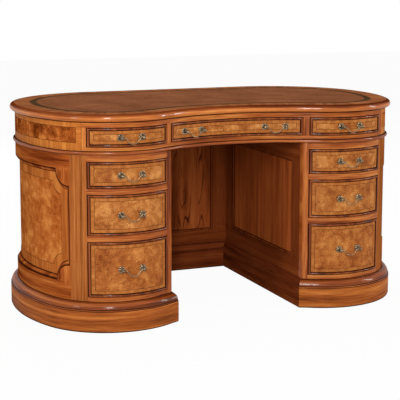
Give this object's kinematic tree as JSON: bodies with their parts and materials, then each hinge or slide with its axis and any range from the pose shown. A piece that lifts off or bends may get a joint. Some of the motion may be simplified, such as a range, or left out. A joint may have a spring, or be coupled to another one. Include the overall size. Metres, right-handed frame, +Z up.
{
  "type": "executive desk",
  "caption": "Kidney-shaped twin-pedestal writing desk with leather top, sliding drawers, swan-neck bail handles and panelled kneehole.",
  "frame": {"origin": "on the floor under the middle of the desk", "axes": "+X to the right seen from the sitter's side, +Y to the back, +Z up"},
  "size_m": [1.5244, 0.8992, 0.78],
  "materials": {
    "moulding_wood": "polished",
    "frame_wood": "polished",
    "crossband": "polished",
    "burr_veneer": "polished",
    "kneehole_wood": "satin",
    "carcass_wood": "matt",
    "leather": "satin",
    "brass": "antique"
  },
  "bodies": {
    "root": {"drawer_runners": "carcass_wood", "frieze_back": "crossband", "frieze_dividers": "carcass_wood", "frieze_end_left": "crossband", "frieze_end_right": "crossband", "frieze_front_frame": "frame_wood", "kneehole_panels": "kneehole_wood", "leather_inset": "leather", "modesty_frame": "kneehole_wood", "modesty_plinth": "moulding_wood", "pedestal_boards": "carcass_wood", "pedestal_left_burr_panels": "burr_veneer", "pedestal_left_front_frame": "frame_wood", "pedestal_left_inner_frame": "kneehole_wood", "pedestal_left_shell": "frame_wood", "pedestal_right_burr_panels": "burr_veneer", "pedestal_right_front_frame": "frame_wood", "pedestal_right_inner_frame": "kneehole_wood", "pedestal_right_shell": "frame_wood", "plinth_left": "moulding_wood", "plinth_right": "moulding_wood", "top_board": "moulding_wood", "waist_board": "moulding_wood"},
    "drawer_frieze_left": {"drawer_frieze_left_front": "burr_veneer", "drawer_frieze_left_box": "carcass_wood", "drawer_frieze_left_posts": "brass"},
    "bail_frieze_left": {"bail_frieze_left": "brass"},
    "drawer_left_upper": {"drawer_left_upper_front": "burr_veneer", "drawer_left_upper_box": "carcass_wood", "drawer_left_upper_posts": "brass"},
    "bail_left_upper": {"bail_left_upper": "brass"},
    "drawer_left_middle": {"drawer_left_middle_front": "burr_veneer", "drawer_left_middle_box": "carcass_wood", "drawer_left_middle_posts": "brass"},
    "bail_left_middle": {"bail_left_middle": "brass"},
    "drawer_left_lower": {"drawer_left_lower_front": "burr_veneer", "drawer_left_lower_box": "carcass_wood", "drawer_left_lower_posts": "brass"},
    "bail_left_lower": {"bail_left_lower": "brass"},
    "drawer_frieze_right": {"drawer_frieze_right_front": "burr_veneer", "drawer_frieze_right_box": "carcass_wood", "drawer_frieze_right_posts": "brass"},
    "bail_frieze_right": {"bail_frieze_right": "brass"},
    "drawer_right_upper": {"drawer_right_upper_front": "burr_veneer", "drawer_right_upper_box": "carcass_wood", "drawer_right_upper_posts": "brass"},
    "bail_right_upper": {"bail_right_upper": "brass"},
    "drawer_right_middle": {"drawer_right_middle_front": "burr_veneer", "drawer_right_middle_box": "carcass_wood", "drawer_right_middle_posts": "brass"},
    "bail_right_middle": {"bail_right_middle": "brass"},
    "drawer_right_lower": {"drawer_right_lower_front": "burr_veneer", "drawer_right_lower_box": "carcass_wood", "drawer_right_lower_posts": "brass"},
    "bail_right_lower": {"bail_right_lower": "brass"},
    "drawer_frieze_centre": {"drawer_frieze_centre_front": "burr_veneer", "drawer_frieze_centre_box": "carcass_wood", "drawer_frieze_centre_posts": "brass"},
    "bail_frieze_centre_right": {"bail_frieze_centre_right": "brass"},
    "bail_frieze_centre_left": {"bail_frieze_centre_left": "brass"}
  },
  "joints": [
    {"name": "drawer_frieze_left_slide", "type": "slide", "parent": "root", "child": "drawer_frieze_left", "axis": [0, -1, 0], "range_m": [0, 0.36]},
    {"name": "bail_frieze_left_swing", "type": "hinge", "parent": "drawer_frieze_left", "child": "bail_frieze_left", "pos_m": [-0.43782, -0.44257, 0.697], "axis": [-1, 0, 0], "range_deg": [0, 90]},
    {"name": "drawer_left_upper_slide", "type": "slide", "parent": "root", "child": "drawer_left_upper", "axis": [0, -1, 0], "range_m": [0, 0.36]},
    {"name": "bail_left_upper_swing", "type": "hinge", "parent": "drawer_left_upper", "child": "bail_left_upper", "pos_m": [-0.43782, -0.44257, 0.563], "axis": [-1, 0, 0], "range_deg": [0, 90]},
    {"name": "drawer_left_middle_slide", "type": "slide", "parent": "root", "child": "drawer_left_middle", "axis": [0, -1, 0], "range_m": [0, 0.36]},
    {"name": "bail_left_middle_swing", "type": "hinge", "parent": "drawer_left_middle", "child": "bail_left_middle", "pos_m": [-0.43782, -0.44257, 0.42], "axis": [-1, 0, 0], "range_deg": [0, 90]},
    {"name": "drawer_left_lower_slide", "type": "slide", "parent": "root", "child": "drawer_left_lower", "axis": [0, -1, 0], "range_m": [0, 0.36]},
    {"name": "bail_left_lower_swing", "type": "hinge", "parent": "drawer_left_lower", "child": "bail_left_lower", "pos_m": [-0.43782, -0.44257, 0.2235], "axis": [-1, 0, 0], "range_deg": [0, 90]},
    {"name": "drawer_frieze_right_slide", "type": "slide", "parent": "root", "child": "drawer_frieze_right", "axis": [0, -1, 0], "range_m": [0, 0.36]},
    {"name": "bail_frieze_right_swing", "type": "hinge", "parent": "drawer_frieze_right", "child": "bail_frieze_right", "pos_m": [0.43782, -0.44257, 0.697], "axis": [-1, 0, 0], "range_deg": [0, 90]},
    {"name": "drawer_right_upper_slide", "type": "slide", "parent": "root", "child": "drawer_right_upper", "axis": [0, -1, 0], "range_m": [0, 0.36]},
    {"name": "bail_right_upper_swing", "type": "hinge", "parent": "drawer_right_upper", "child": "bail_right_upper", "pos_m": [0.43782, -0.44257, 0.563], "axis": [-1, 0, 0], "range_deg": [0, 90]},
    {"name": "drawer_right_middle_slide", "type": "slide", "parent": "root", "child": "drawer_right_middle", "axis": [0, -1, 0], "range_m": [0, 0.36]},
    {"name": "bail_right_middle_swing", "type": "hinge", "parent": "drawer_right_middle", "child": "bail_right_middle", "pos_m": [0.43782, -0.44257, 0.42], "axis": [-1, 0, 0], "range_deg": [0, 90]},
    {"name": "drawer_right_lower_slide", "type": "slide", "parent": "root", "child": "drawer_right_lower", "axis": [0, -1, 0], "range_m": [0, 0.36]},
    {"name": "bail_right_lower_swing", "type": "hinge", "parent": "drawer_right_lower", "child": "bail_right_lower", "pos_m": [0.43782, -0.44257, 0.2235], "axis": [-1, 0, 0], "range_deg": [0, 90]},
    {"name": "drawer_frieze_centre_slide", "type": "slide", "parent": "root", "child": "drawer_frieze_centre", "axis": [0, -1, 0], "range_m": [0, 0.3]},
    {"name": "bail_frieze_centre_right_swing", "type": "hinge", "parent": "drawer_frieze_centre", "child": "bail_frieze_centre_right", "pos_m": [0.16143, -0.34657, 0.697], "axis": [-0.9604, 0.2787, 0], "range_deg": [0, 90]},
    {"name": "bail_frieze_centre_left_swing", "type": "hinge", "parent": "drawer_frieze_centre", "child": "bail_frieze_centre_left", "pos_m": [-0.16143, -0.34657, 0.697], "axis": [-0.9604, -0.2787, 0], "range_deg": [0, 90]}
  ]
}
